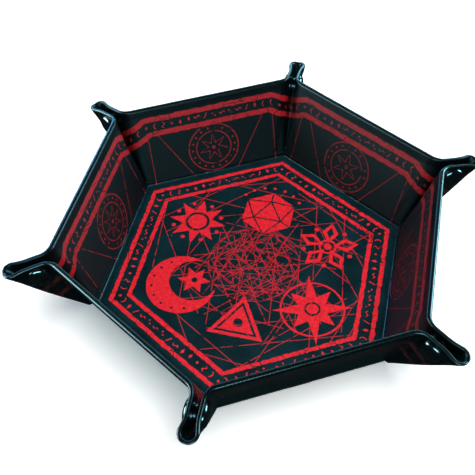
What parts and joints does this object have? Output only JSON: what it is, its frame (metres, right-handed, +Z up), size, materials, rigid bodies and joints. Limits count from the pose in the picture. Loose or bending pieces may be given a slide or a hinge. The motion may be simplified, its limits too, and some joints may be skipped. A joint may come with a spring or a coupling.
{
  "type": "folding dice tray",
  "caption": "Hexagonal folding dice tray: a lined leather-look sheet over board, with hinged walls and corner fins held up by snap fasteners.",
  "frame": {"origin": "centre of the floor's underside, where the tray rests", "axes": "+Z up out of the open tray; +X square to wall 1, so two walls face along X; the floor's corners 2 and 5 lie on Y"},
  "size_m": [0.227, 0.2578, 0.0514],
  "materials": {
    "outer_skin": "glossy black leather-look skin, printed with red bands",
    "lining": "fine-grained dark lining, printed with red bands and emblems",
    "board": "raw grey-brown board",
    "web": "glossy black leather-look skin",
    "snap_cap": "glossy black lacquer",
    "snap": "black nickel"
  },
  "bodies": {
    "base": {"base_outer_skin": "outer_skin", "base_board": "board", "base_lining": "lining"},
    "wall_1": {"wall_1_outer_skin": "outer_skin", "wall_1_board": "board", "wall_1_lining": "lining"},
    "wall_2": {"wall_2_outer_skin": "outer_skin", "wall_2_board": "board", "wall_2_lining": "lining"},
    "wall_3": {"wall_3_outer_skin": "outer_skin", "wall_3_board": "board", "wall_3_lining": "lining"},
    "wall_4": {"wall_4_outer_skin": "outer_skin", "wall_4_board": "board", "wall_4_lining": "lining"},
    "wall_5": {"wall_5_outer_skin": "outer_skin", "wall_5_board": "board", "wall_5_lining": "lining"},
    "wall_6": {"wall_6_outer_skin": "outer_skin", "wall_6_board": "board", "wall_6_lining": "lining"},
    "corner_1_socket_side": {"corner_1_socket_web": "web", "corner_1_socket_cap": "snap_cap", "corner_1_socket": "snap"},
    "corner_1_stud_side": {"corner_1_stud_web": "web", "corner_1_stud_cap": "snap_cap", "corner_1_stud": "snap"},
    "corner_2_socket_side": {"corner_2_socket_web": "web", "corner_2_socket_cap": "snap_cap", "corner_2_socket": "snap"},
    "corner_2_stud_side": {"corner_2_stud_web": "web", "corner_2_stud_cap": "snap_cap", "corner_2_stud": "snap"},
    "corner_3_socket_side": {"corner_3_socket_web": "web", "corner_3_socket_cap": "snap_cap", "corner_3_socket": "snap"},
    "corner_3_stud_side": {"corner_3_stud_web": "web", "corner_3_stud_cap": "snap_cap", "corner_3_stud": "snap"},
    "corner_4_socket_side": {"corner_4_socket_web": "web", "corner_4_socket_cap": "snap_cap", "corner_4_socket": "snap"},
    "corner_4_stud_side": {"corner_4_stud_web": "web", "corner_4_stud_cap": "snap_cap", "corner_4_stud": "snap"},
    "corner_5_socket_side": {"corner_5_socket_web": "web", "corner_5_socket_cap": "snap_cap", "corner_5_socket": "snap"},
    "corner_5_stud_side": {"corner_5_stud_web": "web", "corner_5_stud_cap": "snap_cap", "corner_5_stud": "snap"},
    "corner_6_socket_side": {"corner_6_socket_web": "web", "corner_6_socket_cap": "snap_cap", "corner_6_socket": "snap"},
    "corner_6_stud_side": {"corner_6_stud_web": "web", "corner_6_stud_cap": "snap_cap", "corner_6_stud": "snap"}
  },
  "joints": [
    {"name": "wall_1_fold", "type": "hinge", "parent": "base", "child": "wall_1", "pos_m": [0.07794, 0, 0.0015], "axis": [0, 1, 0], "range_deg": [0, 72.4]},
    {"name": "wall_2_fold", "type": "hinge", "parent": "base", "child": "wall_2", "pos_m": [0.03897, 0.0675, 0.0015], "axis": [-0.866, 0.5, 0], "range_deg": [0, 72.4]},
    {"name": "wall_3_fold", "type": "hinge", "parent": "base", "child": "wall_3", "pos_m": [-0.03897, 0.0675, 0.0015], "axis": [-0.866, -0.5, 0], "range_deg": [0, 72.4]},
    {"name": "wall_4_fold", "type": "hinge", "parent": "base", "child": "wall_4", "pos_m": [-0.07794, 0, 0.0015], "axis": [0, -1, 0], "range_deg": [0, 72.4]},
    {"name": "wall_5_fold", "type": "hinge", "parent": "base", "child": "wall_5", "pos_m": [-0.03897, -0.0675, 0.0015], "axis": [0.866, -0.5, 0], "range_deg": [0, 72.4]},
    {"name": "wall_6_fold", "type": "hinge", "parent": "base", "child": "wall_6", "pos_m": [0.03897, -0.0675, 0.0015], "axis": [0.866, 0.5, 0], "range_deg": [0, 72.4]},
    {"name": "corner_1_socket_web_fold", "type": "hinge", "parent": "wall_1", "child": "corner_1_socket_side", "pos_m": [0.07811, 0.04186, 0.00202], "axis": [0.2979, 0.172, 0.939], "range_deg": [0, 61.6]},
    {"name": "corner_1_stud_web_fold", "type": "hinge", "parent": "wall_2", "child": "corner_1_stud_side", "pos_m": [0.07531, 0.04671, 0.00202], "axis": [-0.2979, -0.172, -0.939], "range_deg": [0, 61.6]},
    {"name": "corner_2_socket_web_fold", "type": "hinge", "parent": "wall_2", "child": "corner_2_socket_side", "pos_m": [0.0028, 0.08857, 0.00202], "axis": [0, 0.3439, 0.939], "range_deg": [0, 61.6]},
    {"name": "corner_2_stud_web_fold", "type": "hinge", "parent": "wall_3", "child": "corner_2_stud_side", "pos_m": [-0.0028, 0.08857, 0.00202], "axis": [0, -0.3439, -0.939], "range_deg": [0, 61.6]},
    {"name": "corner_3_socket_web_fold", "type": "hinge", "parent": "wall_3", "child": "corner_3_socket_side", "pos_m": [-0.07531, 0.04671, 0.00202], "axis": [-0.2979, 0.172, 0.939], "range_deg": [0, 61.6]},
    {"name": "corner_3_stud_web_fold", "type": "hinge", "parent": "wall_4", "child": "corner_3_stud_side", "pos_m": [-0.07811, 0.04186, 0.00202], "axis": [0.2979, -0.172, -0.939], "range_deg": [0, 61.6]},
    {"name": "corner_4_socket_web_fold", "type": "hinge", "parent": "wall_4", "child": "corner_4_socket_side", "pos_m": [-0.07811, -0.04186, 0.00202], "axis": [-0.2979, -0.172, 0.939], "range_deg": [0, 61.6]},
    {"name": "corner_4_stud_web_fold", "type": "hinge", "parent": "wall_5", "child": "corner_4_stud_side", "pos_m": [-0.07531, -0.04671, 0.00202], "axis": [0.2979, 0.172, -0.939], "range_deg": [0, 61.6]},
    {"name": "corner_5_socket_web_fold", "type": "hinge", "parent": "wall_5", "child": "corner_5_socket_side", "pos_m": [-0.0028, -0.08857, 0.00202], "axis": [0, -0.3439, 0.939], "range_deg": [0, 61.6]},
    {"name": "corner_5_stud_web_fold", "type": "hinge", "parent": "wall_6", "child": "corner_5_stud_side", "pos_m": [0.0028, -0.08857, 0.00202], "axis": [0, 0.3439, -0.939], "range_deg": [0, 61.6]},
    {"name": "corner_6_socket_web_fold", "type": "hinge", "parent": "wall_6", "child": "corner_6_socket_side", "pos_m": [0.07531, -0.04671, 0.00202], "axis": [0.2979, -0.172, 0.939], "range_deg": [0, 61.6]},
    {"name": "corner_6_stud_web_fold", "type": "hinge", "parent": "wall_1", "child": "corner_6_stud_side", "pos_m": [0.07811, -0.04186, 0.00202], "axis": [-0.2979, 0.172, -0.939], "range_deg": [0, 61.6]}
  ],
  "couplings": [
    {"joint": "wall_2_fold", "follows": "wall_1_fold", "ratio": 1},
    {"joint": "wall_3_fold", "follows": "wall_1_fold", "ratio": 1},
    {"joint": "wall_4_fold", "follows": "wall_1_fold", "ratio": 1},
    {"joint": "wall_5_fold", "follows": "wall_1_fold", "ratio": 1},
    {"joint": "wall_6_fold", "follows": "wall_1_fold", "ratio": 1},
    {"joint": "corner_1_socket_web_fold", "follows": "wall_1_fold", "ratio": 0.84995},
    {"joint": "corner_1_stud_web_fold", "follows": "wall_1_fold", "ratio": 0.84995},
    {"joint": "corner_2_socket_web_fold", "follows": "wall_1_fold", "ratio": 0.84995},
    {"joint": "corner_2_stud_web_fold", "follows": "wall_1_fold", "ratio": 0.84995},
    {"joint": "corner_3_socket_web_fold", "follows": "wall_1_fold", "ratio": 0.84995},
    {"joint": "corner_3_stud_web_fold", "follows": "wall_1_fold", "ratio": 0.84995},
    {"joint": "corner_4_socket_web_fold", "follows": "wall_1_fold", "ratio": 0.84995},
    {"joint": "corner_4_stud_web_fold", "follows": "wall_1_fold", "ratio": 0.84995},
    {"joint": "corner_5_socket_web_fold", "follows": "wall_1_fold", "ratio": 0.84995},
    {"joint": "corner_5_stud_web_fold", "follows": "wall_1_fold", "ratio": 0.84995},
    {"joint": "corner_6_socket_web_fold", "follows": "wall_1_fold", "ratio": 0.84995},
    {"joint": "corner_6_stud_web_fold", "follows": "wall_1_fold", "ratio": 0.84995}
  ]
}
